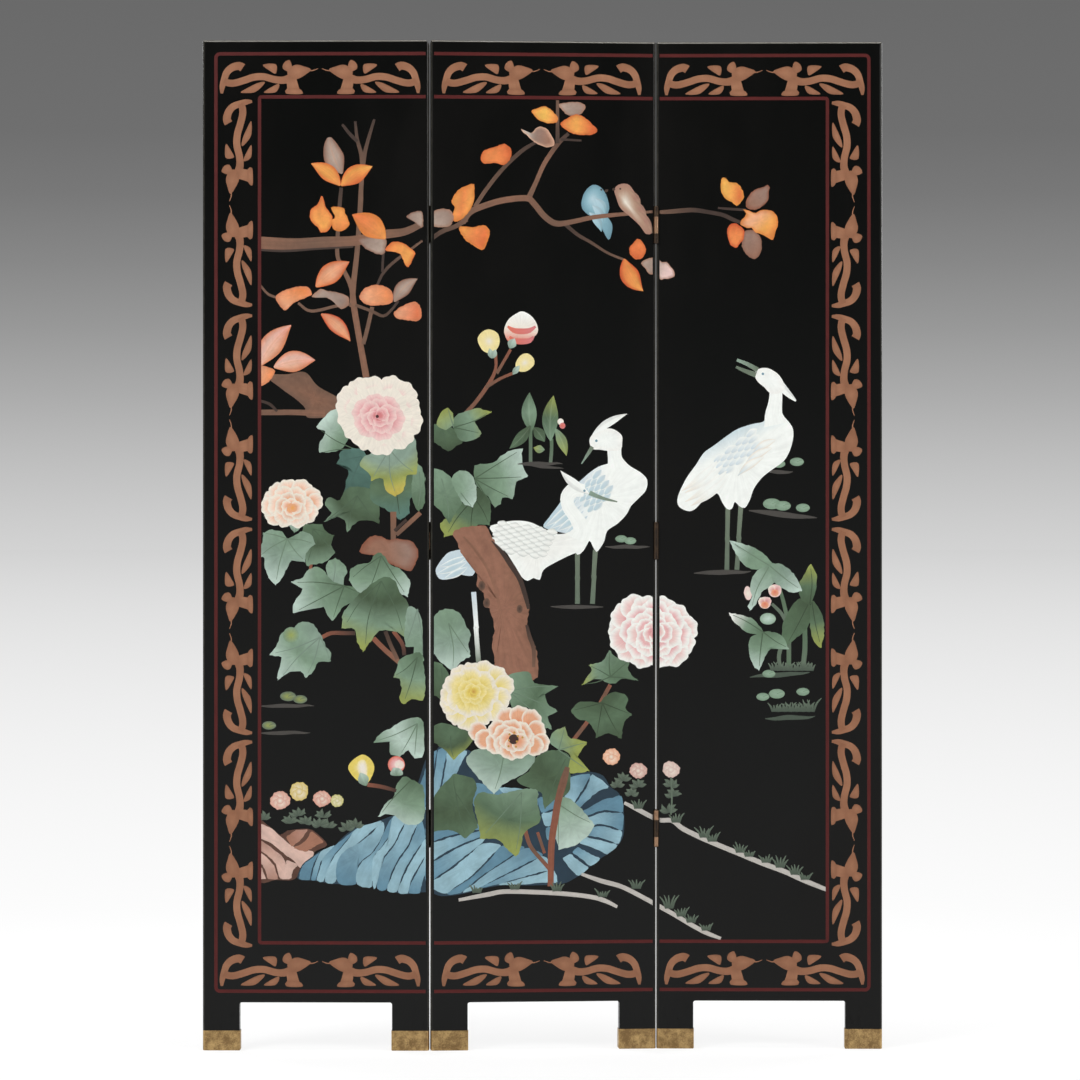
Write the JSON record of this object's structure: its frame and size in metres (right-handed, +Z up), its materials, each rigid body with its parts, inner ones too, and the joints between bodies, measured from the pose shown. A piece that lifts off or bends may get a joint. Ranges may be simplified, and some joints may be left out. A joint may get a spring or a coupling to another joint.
{
  "type": "folding screen",
  "caption": "Folding lacquer screen of three tall leaves on loose-pin hinges, black with carved birds and blossom, on legs with brass foot caps.",
  "frame": {"origin": "on the floor under the middle of the screen, at the centre of its footprint", "axes": "+Z up, +X to the right along the screen seen from the front, -Y out of the decorated front faces"},
  "size_m": [1.2328, 0.0454, 1.829],
  "materials": {
    "black_lacquer_front": "polished black lacquer with carved and painted decoration",
    "black_lacquer_back": "plain black lacquer",
    "black_lacquer_edge": "black lacquer on rounded wooden edges",
    "core_wood": "bare pale softwood boards",
    "foot_brass": "dull aged sheet brass",
    "hinge_brass": "brown tarnished brass",
    "screw_steel": "dull steel",
    "painted_ornament": "matt mineral colours laid in the carving"
  },
  "bodies": {
    "left_leaf": {"left_leaf_left_stile": "black_lacquer_edge", "left_leaf_right_stile": "black_lacquer_edge", "left_leaf_top_rail": "black_lacquer_edge", "left_leaf_bottom_rail": "black_lacquer_edge", "left_leaf_core_boards": "core_wood", "left_leaf_front_ground": "black_lacquer_front", "left_leaf_back_ground": "black_lacquer_back", "left_leaf_left_foot_cap": "foot_brass", "left_leaf_right_foot_cap": "foot_brass", "left_leaf_foot_cap_nails": "foot_brass", "left_lower_hinge_narrow_half": "hinge_brass", "left_middle_hinge_narrow_half": "hinge_brass", "left_upper_hinge_narrow_half": "hinge_brass", "left_leaf_hinge_screws": "screw_steel"},
    "middle_leaf": {"middle_leaf_left_stile": "black_lacquer_edge", "middle_leaf_right_stile": "black_lacquer_edge", "middle_leaf_top_rail": "black_lacquer_edge", "middle_leaf_bottom_rail": "black_lacquer_edge", "middle_leaf_core_boards": "core_wood", "middle_leaf_front_ground": "black_lacquer_front", "middle_leaf_back_ground": "black_lacquer_back", "middle_leaf_left_foot_cap": "foot_brass", "middle_leaf_right_foot_cap": "foot_brass", "middle_leaf_foot_cap_nails": "foot_brass", "left_lower_hinge_wide_half": "hinge_brass", "left_lower_hinge_pin": "hinge_brass", "left_middle_hinge_wide_half": "hinge_brass", "left_middle_hinge_pin": "hinge_brass", "left_upper_hinge_wide_half": "hinge_brass", "left_upper_hinge_pin": "hinge_brass", "right_lower_hinge_wide_half": "hinge_brass", "right_lower_hinge_pin": "hinge_brass", "right_middle_hinge_wide_half": "hinge_brass", "right_middle_hinge_pin": "hinge_brass", "right_upper_hinge_wide_half": "hinge_brass", "right_upper_hinge_pin": "hinge_brass", "middle_leaf_left_hinge_screws": "screw_steel", "middle_leaf_right_hinge_screws": "screw_steel"},
    "right_leaf": {"right_leaf_left_stile": "black_lacquer_edge", "right_leaf_right_stile": "black_lacquer_edge", "right_leaf_top_rail": "black_lacquer_edge", "right_leaf_bottom_rail": "black_lacquer_edge", "right_leaf_core_boards": "core_wood", "right_leaf_front_ground": "black_lacquer_front", "right_leaf_back_ground": "black_lacquer_back", "right_leaf_left_foot_cap": "foot_brass", "right_leaf_right_foot_cap": "foot_brass", "right_leaf_foot_cap_nails": "foot_brass", "right_lower_hinge_narrow_half": "hinge_brass", "right_middle_hinge_narrow_half": "hinge_brass", "right_upper_hinge_narrow_half": "hinge_brass", "right_leaf_hinge_screws": "screw_steel"}
  },
  "joints": [
    {"name": "left_fold", "type": "hinge", "parent": "middle_leaf", "child": "left_leaf", "pos_m": [-0.20566, 0.00344, 0.9145], "axis": [0, 0, -1], "range_deg": [-6, 174]},
    {"name": "right_fold", "type": "hinge", "parent": "middle_leaf", "child": "right_leaf", "pos_m": [0.20566, -0.00344, 0.9145], "axis": [0, 0, -1], "range_deg": [-6, 174]}
  ]
}
